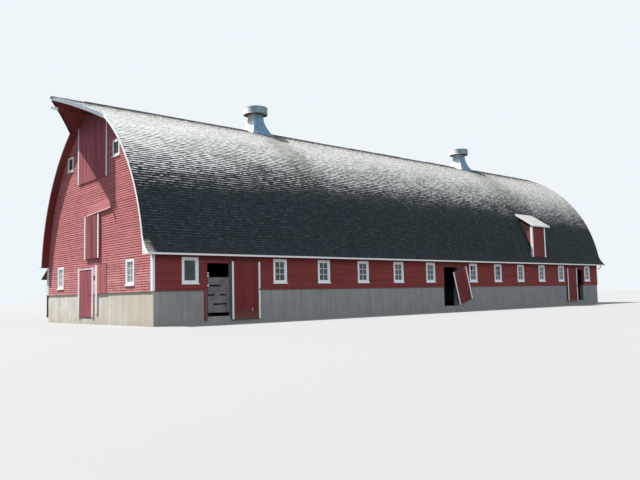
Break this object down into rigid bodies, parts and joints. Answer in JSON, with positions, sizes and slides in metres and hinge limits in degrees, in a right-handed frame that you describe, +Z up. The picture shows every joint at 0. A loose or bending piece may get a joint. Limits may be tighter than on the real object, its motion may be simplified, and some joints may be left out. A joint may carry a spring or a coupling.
{
  "type": "gothic-roofed dairy barn",
  "caption": "Long hollow barn with cast base walls, boarded walls and gables, a bent-rafter arch roof with flared eaves, a pointed hay hood, a dormer and ridge ventilators.",
  "frame": {"origin": "middle of the plan on the ground, on the underside of the ground floor slab", "axes": "+X along the barn away from the hooded gable, -Y the front side with three doorways, +Z up"},
  "size_m": [39.635, 12.9891, 11.7511],
  "materials": {
    "concrete": "weathered board-cast concrete",
    "red_siding": "weathered red paint on lapped boards",
    "red_boards": "weathered dark red paint on upright boards",
    "white_trim": "worn white paint on boards",
    "shingles": "weathered grey wood shingles",
    "bare_timber": "bare silvered timber",
    "galvanised": "old galvanised sheet steel with rust",
    "window_glass": "old window glass"
  },
  "bodies": {
    "barn": {"floor_slab": "concrete", "side_bases": "concrete", "end_bases": "concrete", "front_wall": "red_siding", "front_headers": "red_siding", "rear_wall": "red_siding", "near_gable_lower": "red_siding", "near_gable": "red_siding", "far_gable": "red_siding", "loft_floor": "bare_timber", "loft_joists": "bare_timber", "front_roof": "shingles", "rear_roof": "shingles", "hay_hood": "shingles", "hood_fascia": "bare_timber", "hay_track": "bare_timber", "ridge_cap": "galvanised", "rake_boards": "white_trim", "eave_boards": "white_trim", "corner_boards": "white_trim", "window_frames": "white_trim", "window_glass": "window_glass", "middle_door": "red_boards", "fixed_door_edges": "white_trim", "door_tracks": "galvanised", "door_posts": "red_boards", "hinge_pins": "galvanised", "walk_door_casing": "white_trim", "board_panel": "red_boards", "loft_door": "red_boards", "door_hoods": "red_siding", "hay_door": "red_boards", "dormer_cheeks": "red_siding", "dormer_roof": "shingles", "dormer_door": "red_boards", "ventilator_feet": "galvanised", "ventilator_drums": "galvanised", "rear_door": "red_boards", "eave_outlet": "white_trim"},
    "near_sliding_door": {"near_door": "red_boards", "near_door_edges": "white_trim"},
    "end_sliding_door": {"end_door": "red_boards", "end_door_edges": "white_trim"},
    "gate": {"stable_gate": "bare_timber"},
    "walk_door_leaf": {"walk_door": "red_boards"}
  },
  "joints": [
    {"name": "near_door_slide", "type": "slide", "parent": "barn", "child": "near_sliding_door", "axis": [1, 0, 0], "range_m": [-1.25, 0]},
    {"name": "end_door_slide", "type": "slide", "parent": "barn", "child": "end_sliding_door", "axis": [1, 0, 0], "range_m": [0, 1.165]},
    {"name": "gate_swing", "type": "hinge", "parent": "barn", "child": "gate", "pos_m": [-14.823, -5.655, 1.2], "axis": [0, 0, 1], "range_deg": [-90, 0]},
    {"name": "walk_door_swing", "type": "hinge", "parent": "barn", "child": "walk_door_leaf", "pos_m": [-18.512, 1.549, 1.4], "axis": [0, 0, 1], "range_deg": [-100, 0]}
  ]
}
